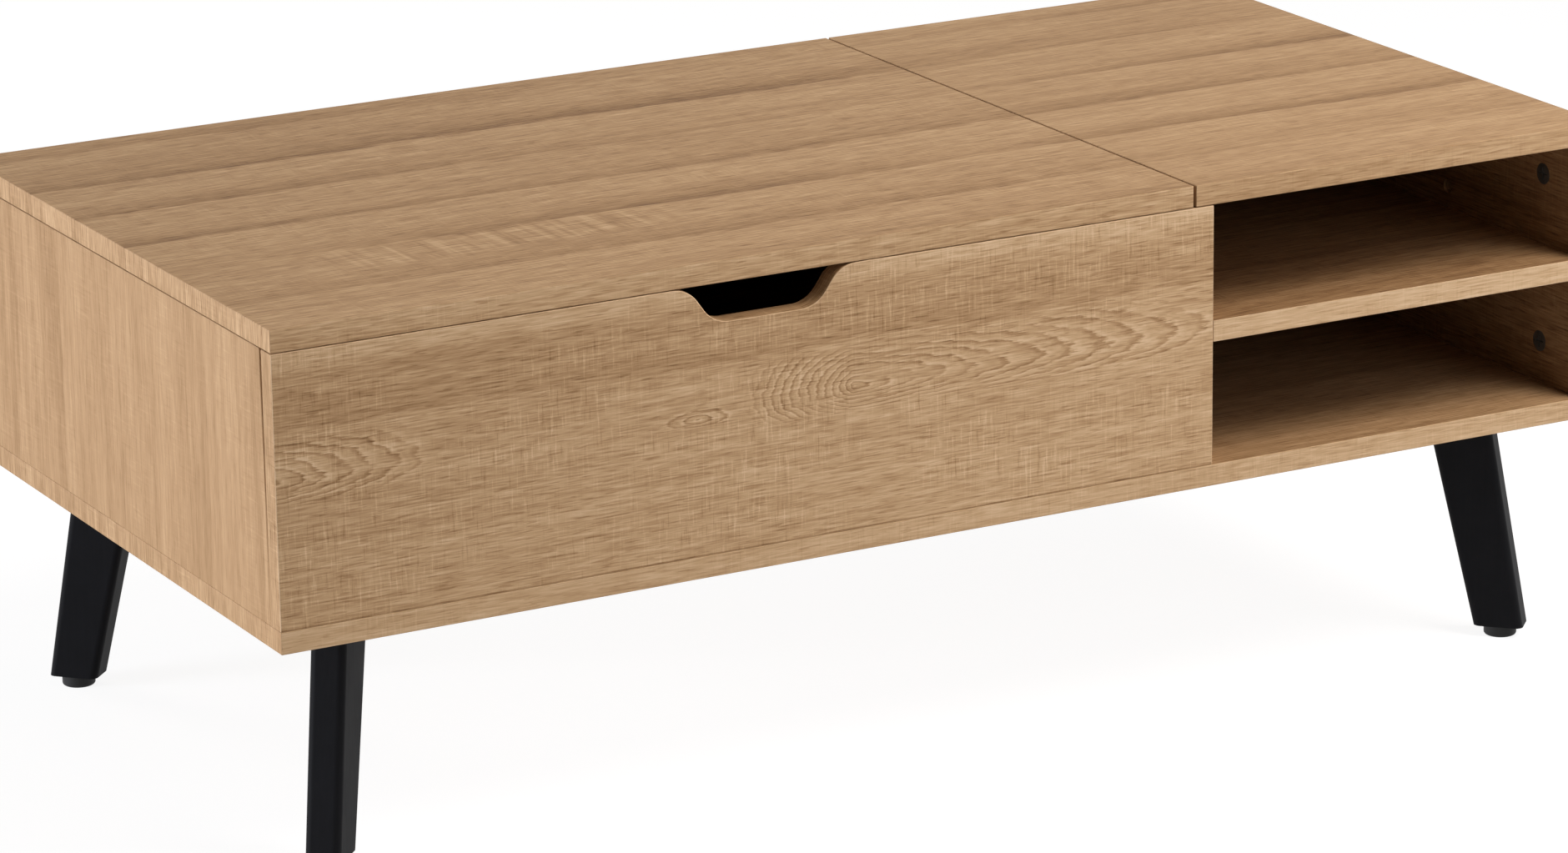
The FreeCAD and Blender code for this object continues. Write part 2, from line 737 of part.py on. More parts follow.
def make_base_bracket(label, wall, inward):
    """Folded base bracket: an upright plate that carries the pivots and a foot on the floor."""
    body = new_body(label, (wall, A_Y, Z_FLOOR))
    rear = f"{ANCHOR_Y} - {A_Y} + post_margin"
    shoulder = f"{CLOSED_STOP[0]} - {A_Y} + stop_margin"
    shoulder_top = f"{CLOSED_STOP[1]} - {Z_FLOOR} + stop_margin"
    crest = "pivot_height + arm_width/2 + stop_diameter/2"
    outline = (
        ("-plate_margin", "0"),
        (rear, "0"),
        (rear, f"{HOOK_Z} - {Z_FLOOR} + post_margin"),
        (shoulder, shoulder_top),
        ("arm_width", crest),
        ("-plate_margin", crest),
    )
    plate_sketch = new_sketch(body, "YZ")
    draw_outline(plate_sketch, outline)
    add_pad(body, plate_sketch, "plate", reverse=inward < 0)
    foot_sketch = new_sketch(body, "XY")
    foot_edge = f"{inward}*foot_width"
    draw_outline(foot_sketch, (
        ("0", "-plate_margin"), (foot_edge, "-plate_margin"), (foot_edge, rear), ("0", rear)))
    add_pad(body, foot_sketch, "plate")
    above_foot = value("plate") + 0.1
    add_fillet(body, "plate_corner", lambda point, way: abs(way.x) > 0.99 and point.z > above_foot)
    foot_reach = value("foot_width") - 0.1
    add_fillet(body, "foot_corner", lambda point, way: abs(way.z) > 0.99 and abs(point.x) > foot_reach)
    pivots = new_sketch(body, "YZ")
    draw_circles(pivots, (("0", "pivot_height"), (LINK_Y, f"pivot_height + {LINK_Z}")), "stud_diameter")
    add_pocket(body, pivots)
    posts = new_sketch(body, "YZ")
    draw_circles(posts, ((f"{ANCHOR_Y} - {A_Y}", f"{HOOK_Z} - {Z_FLOOR}"),), "post_diameter")
    add_pocket(body, posts)
    stops = new_sketch(body, "YZ")
    stop_spots = [(f"{y} - {A_Y}", f"{z} - {Z_FLOOR}") for y, z in (OPEN_STOP, CLOSED_STOP)]
    draw_circles(stops, stop_spots, "stop_diameter")
    add_pocket(body, stops)
    holes = new_sketch(body, "YZ")
    hole_spots = [(f"{y} - {A_Y}", f"{z} - {Z_FLOOR}") for y, z in plate_screw_spots()]
    draw_circles(holes, hole_spots, "screw_diameter")
    add_pocket(body, holes)
    foot_holes = new_sketch(body, "XY")
    foot_spots = [(f"{inward}*foot_width*0.6", f"{y} - {A_Y}") for y in foot_screw_rows()]
    draw_circles(foot_holes, foot_spots, "screw_diameter")
    add_pocket(body, foot_holes, "plate", reverse=True)


def plate_screw_spots():
    """Screws of a base plate: two ahead of the front pivot, two low behind the rear pivot."""
    low = f"({Z_FLOOR} + screw_level)"
    ahead = f"({A_Y} - plate_margin + screw_edge)"
    return (
        (ahead, f"({A_Z} - arm_width/2 - screw_edge)"),
        (ahead, low),
        (f"({B_Y} + spring_reach/2)", low),
        (f"({ANCHOR_Y} - post_margin)", low),
    )


def foot_screw_rows():
    """Screws of a base foot into the bottom panel."""
    return (f"({A_Y} - plate_margin/2)", f"({ANCHOR_Y} - screw_edge)")


def make_front_arm(label, wall, inward):
    """Pressed arm with round ends, two pivot holes and a stiffening bead."""
    body = new_body(label, (f"({wall} + {inward}*{ARM_NEAR})", A_Y, A_Z))
    return shape_arm(body, inward)


def make_rear_arm(label, wall, inward):
    """Pressed arm like the front one, with a tail for the spring post."""
    body = new_body(label, (f"({wall} + {inward}*{ARM_NEAR})", B_Y, B_Z))
    tail_turn = "(90 + lift_swing/2 + closed_tilt)"
    tail = (f"hook_radius*cos({tail_turn})", f"-hook_radius*sin({tail_turn})")
    return shape_arm(body, inward, tail)


def shape_arm(body, inward, tail=None):
    """Builds an arm along the body's Y axis and tilts it to its rest angle."""
    body.Placement = FreeCAD.Placement(Vector(), FreeCAD.Rotation(Vector(1, 0, 0), value("closed_tilt")))
    bind(body, "Placement.Rotation.Angle", "closed_tilt")
    bar = new_sketch(body, "YZ")
    draw_slot(bar, ("0", "0"), ("arm_length", "0"), "arm_width")
    add_pad(body, bar, "arm_thickness", reverse=inward < 0)
    if tail:
        tail_bar = new_sketch(body, "YZ")
        draw_slot(tail_bar, ("0", "0"), tail, "arm_width*0.8")
        add_pad(body, tail_bar, "arm_thickness", reverse=inward < 0)
    bead = new_sketch(body, "YZ", f"{inward}*arm_thickness")
    draw_slot(bead, ("bead_inset", "0"), ("arm_length - bead_inset", "0"), "bead_width")
    add_pad(body, bead, "bead_height", reverse=inward < 0)
    pivots = new_sketch(body, "YZ")
    draw_circles(pivots, (("0", "0"), ("arm_length", "0")), "stud_diameter + 2*pivot_play")
    add_pocket(body, pivots)
    if tail:
        post_hole = new_sketch(body, "YZ")
        draw_circles(post_hole, (tail,), "post_diameter")
        add_pocket(body, post_hole)
    return body


def make_top_bracket(label, wall, inward):
    """Folded top bracket: a plate down to the two upper pivots and a flange under the lift top."""
    body = new_body(label, (f"({wall} + {inward}*{FLANGE_NEAR})", C_Y, C_Z))
    top = f"({Z_LID} - {C_Z})"
    boss = "(arm_width/2 + 2)"
    plate_sketch = new_sketch(body, "YZ")
    draw_outline(plate_sketch, (
        ("-flange_margin", top),
        (f"-{boss}", f"-{boss}"),
        (f"{LINK_Y} + {boss}", f"{LINK_Z} - {boss}"),
        (f"{LINK_Y} + flange_margin", top),
    ))
    add_pad(body, plate_sketch, "plate", reverse=inward < 0)
    flange_sketch = new_sketch(body, "XY", top)
    flange_edge = f"{inward}*flange_width"
    flange_rear = f"{LINK_Y} + flange_margin"
    draw_outline(flange_sketch, (
        ("0", "-flange_margin"),
        (flange_edge, "-flange_margin"),
        (flange_edge, flange_rear),
        ("0", flange_rear),
    ))
    add_pad(body, flange_sketch, "plate", reverse=True)
    below_flange = value(top) - value("plate") - 0.1
    add_fillet(body, "plate_corner", lambda point, way: abs(way.x) > 0.99 and point.z < below_flange)
    reach = value("flange_width") - 0.1
    add_fillet(body, "foot_corner", lambda point, way: abs(way.z) > 0.99 and abs(point.x) > reach)
    pivots = new_sketch(body, "YZ")
    draw_circles(pivots, (("0", "0"), (LINK_Y, LINK_Z)), "stud_diameter")
    add_pocket(body, pivots)
    holes = new_sketch(body, "XY", top)
    spots = [(f"{inward}*{x}", f"{y} - {C_Y}") for x, y in flange_screw_spots()]
    draw_circles(holes, spots, "screw_diameter")
    add_pocket(body, holes, "plate")


def flange_screw_spots():
    """Screws of a top flange: distance from the plate's face, and Y."""
    rows = (f"({C_Y} - flange_margin + screw_edge)", f"({D_Y} + flange_margin - screw_edge)")
    columns = ("(plate + screw_edge)", "(flange_width - screw_edge)")
    return [(column, row) for row in rows for column in columns]


def make_stud_pattern(label, shoulder):
    """Shoulder stud, riveted flush at X = 0, with the head that keeps the arm on past the shoulder."""
    body = new_body(label)
    turn_piece(body, (
        ("0", "0"),
        ("0", "stud_diameter/2"),
        (shoulder, "stud_diameter/2"),
        (shoulder, "stud_head/2"),
        (f"{shoulder} + stud_head_height/2", "stud_head/2"),
        (f"{shoulder} + stud_head_height", "stud_head/2 - stud_head_height/2"),
        (f"{shoulder} + stud_head_height", "0"),
    ))
    return body


def make_washer_pattern():
    """Nylon washer round a stud."""
    body = new_body("washer_pattern")
    turn_piece(body, (
        ("0", "stud_diameter/2"),
        ("0", "washer_diameter/2"),
        ("side_gap - washer_play", "washer_diameter/2"),
        ("side_gap - washer_play", "stud_diameter/2"),
    ))
    return body


def make_post_profile(body, root):
    """Turned post with a rim that keeps the spring's loop on; it starts at a root on X."""
    middle = "spring_offset"
    waist = "post_diameter/2"
    turn_piece(body, (
        (root, "0"),
        (root, waist),
        (f"{middle} + spring_wire", waist),
        (f"{middle} + spring_wire", f"{waist} + post_rim"),
        (f"{middle} + spring_wire + post_rim", f"{waist} + post_rim"),
        (f"{middle} + spring_wire + post_rim", "0"),
    ))


hinges = (
    ("left", X_STORE_LEFT, 1, "left_side_panel"),
    ("right", X_DIVIDER, -1, "divider_panel"),
)
base_studs = []
top_studs = []
base_washers = []
top_washers = []
stops = []
anchors = []
base_screws = []
top_screws = []

for side, wall, inward, board_label in hinges:
    into_store = facing(UP, (inward, 0, 0))
    into_wall = facing(UP, (-inward, 0, 0))
    make_base_bracket(f"{side}_base_bracket", wall, inward)
    make_front_arm(f"{side}_front_arm", wall, inward)
    make_rear_arm(f"{side}_rear_arm", wall, inward)
    make_top_bracket(f"{side}_top_bracket", wall, inward)
    post = new_body(f"{side}_spring_post", (wall, HOOK_Y, HOOK_Z), into_store)
    make_post_profile(post, ARM_NEAR)
    for y, z in ((A_Y, A_Z), (B_Y, B_Z)):
        base_studs.append(((wall, y, z), into_store))
        base_washers.append(((f"({wall} + {inward}*plate)", y, z), into_store))
    for y, z in ((C_Y, C_Z), (D_Y, D_Z)):
        top_studs.append(((f"({wall} + {inward}*{FLANGE_FAR})", y, z), into_wall))
        top_washers.append(((f"({wall} + {inward}*{FLANGE_NEAR})", y, z), into_wall))
    for y, z in (OPEN_STOP, CLOSED_STOP):
        stops.append(((wall, y, z), into_store))
    anchors.append(((wall, ANCHOR_Y, HOOK_Z), into_store))
    for y, z in plate_screw_spots():
        base_screws.append(((f"({wall} + {inward}*plate)", y, z), into_wall))
        bore(board_label, "x", -inward, (wall, y, z), "screw_diameter", FACE_DEPTH)
    for y in foot_screw_rows():
        x = f"({wall} + {inward}*foot_width*0.6)"
        base_screws.append(((x, y, f"({Z_FLOOR} + plate)"), facing(EAST, DOWN)))
        bore("bottom_panel", "z", -1, (x, y, Z_FLOOR), "screw_diameter", FACE_DEPTH)
    for across, y in flange_screw_spots():
        x = f"({wall} + {inward}*({FLANGE_NEAR} + {across}))"
        top_screws.append(((x, y, f"({Z_LID} - plate)"), upwards))
        bore("lift_top", "z", 1, (x, y, Z_LID), "screw_diameter", FACE_DEPTH)

cut_bores()

stop_pattern = new_body("stop_pattern")
turn_piece(stop_pattern, (
    ("0", "0"),
    ("0", "stop_diameter/2"),
    (ARM_FAR, "stop_diameter/2"),
    (ARM_FAR, "0"),
))
anchor_pattern = new_body("anchor_pattern")
make_post_profile(anchor_pattern, "0")
washer_pattern = make_washer_pattern()
dowel_pattern = make_dowel_pattern()
stud_shoulder = "(plate + side_gap + arm_thickness + washer_play)"
stud_pattern = make_stud_pattern("stud_pattern", stud_shoulder)

copies("cam_locks", make_cam_pattern(), cams)
copies("cam_bolts", make_cam_bolt_pattern(), cam_bolts)
copies("joint_dowels", dowel_pattern, dowels)
copies("leg_dowels", dowel_pattern, leg_dowels)
copies("leg_hanger_bolts", make_hanger_pattern(), hangers)
copies("leg_inserts", make_insert_pattern(), inserts)
glide_screw = make_screw_pattern(
    "glide_screw_pattern", "glide_screw_head", "glide_screw_in_leg", "glide_height - glide_screw_seat")
copies("glide_screws", glide_screw, glide_screws)
bracket_screw = make_screw_pattern("bracket_screw_pattern", "screw_head", FACE_DEPTH, "plate")
copies("base_bracket_screws", bracket_screw, base_screws)
copies("top_bracket_screws", bracket_screw, top_screws)
copies("base_pivot_studs", stud_pattern, base_studs)
copies("top_pivot_studs", stud_pattern, top_studs)
copies("base_pivot_washers", washer_pattern, base_washers)
copies("top_pivot_washers", washer_pattern, top_washers)
copies("lift_stop_pins", stop_pattern, stops)
copies("spring_anchor_posts", anchor_pattern, anchors)


# Extension springs, drawn out as they are when the top is down

def arc_between(start, leaving, end):
    """Circular arc that leaves a start along a direction and reaches an end."""
    chord = end - start
    along = Vector(chord).normalize()
    lift = leaving - along * leaving.dot(along)
    if lift.Length < 1e-6:
        return Part.LineSegment(start, end).toShape()
    half_angle = math.atan2(lift.Length, leaving.dot(along)) / 2
    middle = (start + end) / 2 + lift.normalize() * (chord.Length / 2 * math.tan(half_angle))
    return Part.Arc(start, middle, end).toShape()


def biarc(start, leaving, end, arriving):
    """Two arcs that meet smoothly, between two points with given directions."""
    span = end - start
    both = leaving + arriving
    spread = 2 * (1 - leaving.dot(arriving))
    across = span.dot(both)
    if spread < 1e-9:
        reach = span.dot(span) / (4 * span.dot(arriving))
    else:
        reach = (math.sqrt(across ** 2 + spread * span.dot(span)) - across) / spread
    meeting = (start + leaving * reach + end - arriving * reach) / 2
    turned_back = arc_between(end, arriving * -1, meeting)
    return [arc_between(start, leaving, meeting), turned_back]


def spring_stations():
    """Points and directions along a spring whose axis is Y, from its front loop to its rear loop."""
    loop = value("post_diameter/2 + post_play + spring_wire/2")
    radius = value("spring_coil/2 - spring_wire/2")
    span = value(f"{ANCHOR_Y} - {HOOK_Y}")
    turns = math.floor(value("spring_turns")) + 1 / 3
    coil = span - 2 * (loop + value("spring_wire") * 4)
    front = []
    for angle in (60, 120, 180, 270):
        here = math.radians(angle)
        spot = Vector(0, loop * math.cos(here) - span / 2, loop * math.sin(here))
        front.append((spot, Vector(0, -math.sin(here), math.cos(here))))
    steps = round(turns * 2)
    body = []
    slope = coil / (turns * 2 * math.pi * radius)
    for step in range(steps + 1):
        share = step / steps - 0.5
        angle = share * turns * 2 * math.pi
        spot = Vector(radius * math.cos(angle), share * coil, radius * math.sin(angle))
        direction = Vector(-math.sin(angle), slope, math.cos(angle)).normalize()
        body.append((spot, direction))
    rear = [(Vector(p.x, -p.y, -p.z), Vector(-d.x, d.y, d.z)) for p, d in reversed(front)]
    return front + body + rear


def make_spring(label, wall, inward):
    """Sweeps a round wire along the stations and puts the spring between its two posts."""
    stations = spring_stations()
    edges = []
    for (start, leaving), (end, arriving) in zip(stations, stations[1:]):
        edges += biarc(start, leaving, end, arriving)
    path = Part.Wire(Part.__sortEdges__(edges))
    wire = Part.Wire(Part.Circle(stations[0][0], stations[0][1], value("spring_wire/2")).toShape())
    spring = doc.addObject("Part::Feature", label)
    spring.Label = label
    spring.Shape = path.makePipeShell([wire], True, False)
    middle_y = f"({HOOK_Y} + {ANCHOR_Y})/2"
    bind_place(spring, (f"({wall} + {inward}*spring_offset)", middle_y, HOOK_Z))
    nodes.append(spring)
    return path


def self_gap(path, wire):
    """Least gap of a wound wire to itself, measured between points that are not neighbours."""
    spacing = wire / 2
    points = path.discretize(Distance=spacing)
    skip = round(4 * wire / spacing)
    least = min(
        (points[i] - points[j]).Length
        for i in range(len(points)) for j in range(i + skip, min(i + 150, len(points)))
    )
    return least - wire


for side, wall, inward, board_label in hinges:
    spring_path = make_spring(f"{side}_lift_spring", wall, inward)
    print(f"{side} spring: least gap to itself {self_gap(spring_path, value('spring_wire')):.2f} mm")


# Recompute, check and export

doc.recompute()
for item in doc.Objects:
    if "Invalid" in item.State or "Error" in item.State:
        raise RuntimeError(f"{item.Label} is {item.State}")
os.makedirs("parts", exist_ok=True)
for node in nodes:
    if node.Shape.isNull() or not node.Shape.isValid():
        raise RuntimeError(f"{node.Label} has no valid shape")
    node.Shape.exportStep(f"parts/{node.Label}.step")
print(f"{len(nodes)} nodes")
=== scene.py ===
# Looks of a lift-top coffee table: oak foil boards, black lacquered legs and a steel lift mechanism.
import json
import math
from collections import namedtuple

import bmesh
import bpy
from mathutils import Matrix, Vector


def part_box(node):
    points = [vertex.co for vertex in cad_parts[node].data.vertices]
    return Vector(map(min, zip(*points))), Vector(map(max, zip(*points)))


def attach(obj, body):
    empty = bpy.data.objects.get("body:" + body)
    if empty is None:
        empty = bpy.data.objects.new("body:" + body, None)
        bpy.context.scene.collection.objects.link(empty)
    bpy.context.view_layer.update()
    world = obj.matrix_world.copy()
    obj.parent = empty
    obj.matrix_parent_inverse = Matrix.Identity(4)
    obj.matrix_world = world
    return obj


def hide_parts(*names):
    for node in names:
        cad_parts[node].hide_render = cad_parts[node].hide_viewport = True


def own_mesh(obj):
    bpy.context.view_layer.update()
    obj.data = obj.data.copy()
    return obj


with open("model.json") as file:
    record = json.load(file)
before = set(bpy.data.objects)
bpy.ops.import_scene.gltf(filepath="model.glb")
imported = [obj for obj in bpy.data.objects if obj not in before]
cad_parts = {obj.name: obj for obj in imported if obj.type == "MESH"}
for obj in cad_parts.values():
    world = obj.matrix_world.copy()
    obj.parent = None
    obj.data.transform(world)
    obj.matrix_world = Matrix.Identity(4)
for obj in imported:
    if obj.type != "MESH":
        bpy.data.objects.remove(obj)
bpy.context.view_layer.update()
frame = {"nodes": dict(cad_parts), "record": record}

AXES = "xyz"
WHITE = (1.0, 1.0, 1.0, 1.0)

# A layer of noise: cycles per metre along and across the grain, a seed that sets it apart, and its fineness
Layer = namedtuple("Layer", "along across seed detail roughness", defaults=(2.0, 0.5))
NOISE_MIDDLE = 0.5


class Shader:
    """The node tree of a material or a world, built by calls that return the sockets they make."""

    def __init__(self, owner):
        owner.use_nodes = True
        self.owner = owner
        self.tree = owner.node_tree
        self.tree.nodes.clear()

    def node(self, kind, inputs, **settings):
        made = self.tree.nodes.new("ShaderNode" + kind)
        for name, value in settings.items():
            setattr(made, name, value)
        for name, value in inputs.items():
            socket = made.inputs[name]
            if isinstance(value, bpy.types.NodeSocket):
                self.tree.links.new(value, socket)
            else:
                socket.default_value = value
        return made

    def math(self, operation, *values):
        return self.node("Math", dict(enumerate(values)), operation=operation).outputs[0]

    def vector(self, operation, *values):
        outputs = self.node("VectorMath", dict(enumerate(values)), operation=operation).outputs
        return outputs["Value"] if operation == "DOT_PRODUCT" else outputs["Vector"]

    def join(self, *parts):
        """A vector of up to three parts."""
        return self.node("CombineXYZ", dict(enumerate(parts))).outputs[0]

    def total(self, start, *weighted):
        """Start plus each value times its weight."""
        for value, weight in weighted:
            start = self.math("MULTIPLY_ADD", value, weight, start)
        return start

    def product(self, first, *others):
        for value in others:
            first = self.math("MULTIPLY", first, value)
        return first

    def ease(self, value, start, end):
        """A smooth rise from 0 at start to 1 at end, or a fall where end is the smaller."""
        inputs = {"Value": value, "From Min": start, "From Max": end}
        return self.node("MapRange", inputs, interpolation_type="SMOOTHSTEP").outputs["Result"]

    def hump(self, value, start, top, fall, end):
        """A smooth rise from 0 at start to 1 at top, and a smooth fall from 1 at fall to 0 at end."""
        return self.product(self.ease(value, start, top), self.ease(value, end, fall))

    def fade(self, value, reach, share):
        """1 up to that share of the reach, with a smooth fall to 0 at the reach."""
        return self.ease(value, reach, share * reach)

    def strokes(self, value, light, dark):
        """Up to 1 where the value rises past the light edge, down to -1 where it falls past the dark one."""
        return self.math("SUBTRACT", self.ease(value, *light), self.ease(value, *dark))

    def noise(self, place, layer):
        stretched = self.vector(
            "MULTIPLY_ADD", place, (layer.along, layer.across, 1.0), (0.0, 0.0, layer.seed))
        inputs = {"Vector": stretched, "Scale": 1.0, "Detail": layer.detail, "Roughness": layer.roughness}
        return self.node("TexNoise", inputs).outputs["Fac"]

    def colours(self, value, stops):
        """Colour stops spread evenly from 0 to 1."""
        made = self.node("ValToRGB", {"Fac": value})
        elements = made.color_ramp.elements
        last = len(stops) - 1
        for index in range(1, last):
            elements.new(index / last)
        for element, colour in zip(elements, stops):
            element.color = (*colour, 1.0)
        return made.outputs["Color"]

    def surface(self, colour, roughness, height, depth, shine, metal=0.0):
        """Finishes a material with relief of that depth, in metres."""
        bump = self.node("Bump", {"Height": height, "Strength": 1.0, "Distance": depth})
        inputs = {
            "Base Color": colour,
            "Roughness": roughness,
            "Metallic": metal,
            "Specular IOR Level": shine,
            "Normal": bump.outputs["Normal"],
        }
        shader = self.node("BsdfPrincipled", inputs)
        self.node("OutputMaterial", {"Surface": shader.outputs["BSDF"]})
        return self.owner


# Oak foil: where a point lies on its board
# Each grain gives, for a face that looks along x, y or z, the axes along and across the grain. Two axes
# added together carry the figure over the board's end, as the foil does.
LENGTHWISE = {"x": ("xz", "y"), "y": ("x", "z"), "z": ("xz", "y")}
UPRIGHT = {"x": ("z", "y"), "y": ("z", "x"), "z": ("y", "x")}
CROSSWISE = {"x": ("y", "z"), "y": ("z", "x"), "z": ("y", "x")}

# How much of a face's normal lies on an axis: where it counts as facing that way, where an end counts as
# flat, and where an edge between the front and another face is round, for a painted highlight. Faces
# towards the table's middle look to its inside, where they get painted shade.
FACING = 0.7
FLAT_END = (0.85, 0.97)
ROUND_EDGE = (0.05, 0.3, 0.9, 0.995)
TABLE_MIDDLE = (0.0, 0.0, 0.27)

# Metres along and across the grain, and whether the face looks to an end, to the front or back or to the
# inside of the table, which gets painted shade, or is a round edge, which gets a painted highlight
Spot = namedtuple("Spot", "along across to_end to_front inside rim")


def board_spot(shader, grain, top):
    """The spot of a point on a board, with heights taken from the board's top."""
    coordinates = shader.node("TexCoord", {}).outputs
    from_top = shader.vector("SUBTRACT", coordinates["Object"], (0.0, 0.0, top))
    place = dict(zip(AXES, shader.node("SeparateXYZ", {0: from_top}).outputs))
    place["xz"] = shader.math("ADD", place["x"], place["z"])
    normal = shader.node("SeparateXYZ", {0: shader.vector("ABSOLUTE", coordinates["Normal"])}).outputs
    looks = [shader.math("GREATER_THAN", part, FACING) for part in normal]
    facing = shader.join(*looks)
    found = []
    for direction in (0, 1):
        chosen = shader.join(*(place[grain[axis][direction]] for axis in AXES))
        found.append(shader.vector("DOT_PRODUCT", facing, chosen))
    outward = shader.vector("SUBTRACT", coordinates["Object"], TABLE_MIDDLE)
    turned_out = shader.vector("DOT_PRODUCT", coordinates["Normal"], outward)
    return Spot(
        along=found[0],
        across=found[1],
        to_end=shader.ease(normal[0], *FLAT_END),
        to_front=looks[1],
        # Painted shade on faces to the inside of the table
        inside=shader.math("LESS_THAN", turned_out, 0.0),
        # A painted highlight on round edges at the front
        rim=shader.hump(normal[1], *ROUND_EDGE),
    )


# Oak foil: broad tones, long streaks, short fibres and dark pores
TONES = Layer(1.6, 15.0, seed=5.0)
STREAKS = Layer(6.0, 110.0, seed=7.0, detail=5.0, roughness=0.75)
FIBRES = Layer(40.0, 760.0, seed=9.0, roughness=0.6)
PORES = Layer(55.0, 700.0, seed=11.0)
PORE_EDGE = (0.57, 0.65)

# Oak foil: growth bands, which noise bends and the streaks fray
BAND_BENDS = Layer(0.9, 7.0, seed=1.0, detail=5.0, roughness=0.6)
BAND_COVER = Layer(1.4, 11.0, seed=3.0)
BAND_COVER_EDGE = (0.3, 0.65)
BANDS_PER_METRE = 12.5
BAND_START = 0.43
BEND_SHARE = 0.4
FRAY_SHARE = 0.24
SLOW_RISE = (0.3, 0.95)
SLOW_SHARE = 0.6
LATE_RISE = (0.78, 0.95)
SHARP_FALL = (1.0, 0.96)
LOST_AT_END = 0.7


def growth_bands(shader, place, across, streaks, to_end):
    """Bands that darken slowly across the grain and end in a frayed edge, fainter on a board's ends."""
    bends = shader.noise(place, BAND_BENDS)
    bands = shader.total(BAND_START, (across, -BANDS_PER_METRE), (bends, BEND_SHARE), (streaks, FRAY_SHARE))
    phase = shader.math("FRACT", bands)
    slow = shader.ease(phase, *SLOW_RISE)
    late = shader.ease(phase, *LATE_RISE)
    rising = shader.total(0.0, (slow, SLOW_SHARE), (late, streaks))
    cover = shader.ease(shader.noise(place, BAND_COVER), *BAND_COVER_EDGE)
    kept = shader.total(1.0, (to_end, -LOST_AT_END))
    return shader.product(rising, shader.ease(phase, *SHARP_FALL), cover, kept)


# Oak foil: saw marks
SAW_STROKES = Layer(520.0, 32.0, seed=13.0, detail=3.0, roughness=0.7)
SAW_LIGHT = (0.54, 0.68)
SAW_DARK = (0.44, 0.30)
SAW_COVER = Layer(9.0, 14.0, seed=15.0)
SAW_COVER_EDGE = (0.3, 0.62)


def saw_marks(shader, place):
    """Light and dark strokes that cross the grain in patches."""
    strokes = shader.strokes(shader.noise(place, SAW_STROKES), SAW_LIGHT, SAW_DARK)
    return shader.product(strokes, shader.ease(shader.noise(place, SAW_COVER), *SAW_COVER_EDGE))


# Oak foil: nests of growth rings round the eye of a flat-cut stretch
# A nest's eye lies along and across the grain, in metres. Its rings are stretch times as long as they are
# high, and lean times shorter to the left. Near the eye they are pulled in by up to that many metres, which
# makes them rounder. They lie one ring apart and fade out at the nest's reach.
Nest = namedtuple("Nest", "along across stretch lean eye ring reach")
EYE_LENGTH = 0.03
CLOSER_BELOW = 1.6
NEST_HEIGHT = 0.030
NEST_FADE = 0.7
RING_WOBBLE = Layer(45.0, 140.0, seed=31.0, detail=4.0, roughness=0.6)
WOBBLE_RINGS = 1.4
FRAY_RINGS = 0.5
RING_GAPS = Layer(18.0, 70.0, seed=37.0)
RING_GAP_EDGE = (0.28, 0.5)
DARK_LINE = (0.58, 0.86, 0.91, 1.0)
LIGHT_LINE = (0.0, 0.07, 0.12, 0.36)
LIGHT_SHARE = 0.6


def ring_distance(shader, spot, rise, nest):
    """Distance from the eye, the same all along a ring."""
    away = shader.math("SUBTRACT", spot.along, nest.along)
    away = shader.math("MAXIMUM", away, shader.math("MULTIPLY", away, -nest.lean))
    rounding = shader.math("DIVIDE", away, shader.math("ADD", away, EYE_LENGTH))
    run = shader.total(0.0, (away, 1 / nest.stretch), (rounding, nest.eye))
    return shader.math("SQRT", shader.total(0.0, (run, run), (rise, rise)))


def nest_rings(shader, spot, place, fibres, nest):
    """Dark rings with a light side, frayed and broken here and there."""
    rise = shader.math("SUBTRACT", spot.across, nest.across)
    rise = shader.math("MAXIMUM", rise, shader.math("MULTIPLY", rise, -CLOSER_BELOW))
    wobble = shader.noise(place, RING_WOBBLE)
    distance = shader.total(
        ring_distance(shader, spot, rise, nest),
        (wobble, WOBBLE_RINGS * nest.ring),
        (fibres, FRAY_RINGS * nest.ring),
    )
    phase = shader.math("FRACT", shader.math("DIVIDE", distance, nest.ring))
    lines = shader.total(
        shader.hump(phase, *DARK_LINE), (shader.hump(phase, *LIGHT_LINE), -LIGHT_SHARE))
    near = shader.fade(distance, nest.reach, NEST_FADE)
    low = shader.fade(rise, NEST_HEIGHT, NEST_FADE)
    whole = shader.ease(shader.noise(place, RING_GAPS), *RING_GAP_EDGE)
    return shader.product(lines, near, low, whole)


# Oak foil: rows of light ray flecks
# A row has its place and half its size along and across the grain, in metres, and its strokes lean by a
# slant per metre.
Rays = namedtuple("Rays", "along across length width slant")
RAY_STROKES = Layer(190.0, 12.0, seed=41.0, detail=1.0)
RAY_LIGHT = (0.5, 0.66)
RAY_DARK = (0.44, 0.3)
RAY_FADE_ALONG = 0.5
RAY_FADE_ACROSS = 0.4


def ray_flecks(shader, spot, rays):
    """Strokes that cross the grain in a row, all leaning one way."""
    away_along = shader.math("ABSOLUTE", shader.math("SUBTRACT", spot.along, rays.along))
    away_across = shader.math("ABSOLUTE", shader.math("SUBTRACT", spot.across, rays.across))
    slanted = shader.total(spot.along, (spot.across, rays.slant))
    strokes = shader.noise(shader.join(slanted, spot.across), RAY_STROKES)
    return shader.product(
        shader.strokes(strokes, RAY_LIGHT, RAY_DARK),
        shader.fade(away_along, rays.length, RAY_FADE_ALONG),
        shader.fade(away_across, rays.width, RAY_FADE_ACROSS),
    )


# Oak foil: stripes along the grain, with their place across it and half their width in metres, and how much
# lighter they are
Stripe = namedtuple("Stripe", "across half tone")
STRIPE_FADE = 0.4


def stripe_cover(shader, spot, stripe):
    away = shader.math("ABSOLUTE", shader.math("SUBTRACT", spot.across, stripe.across))
    return shader.fade(away, stripe.half, STRIPE_FADE)


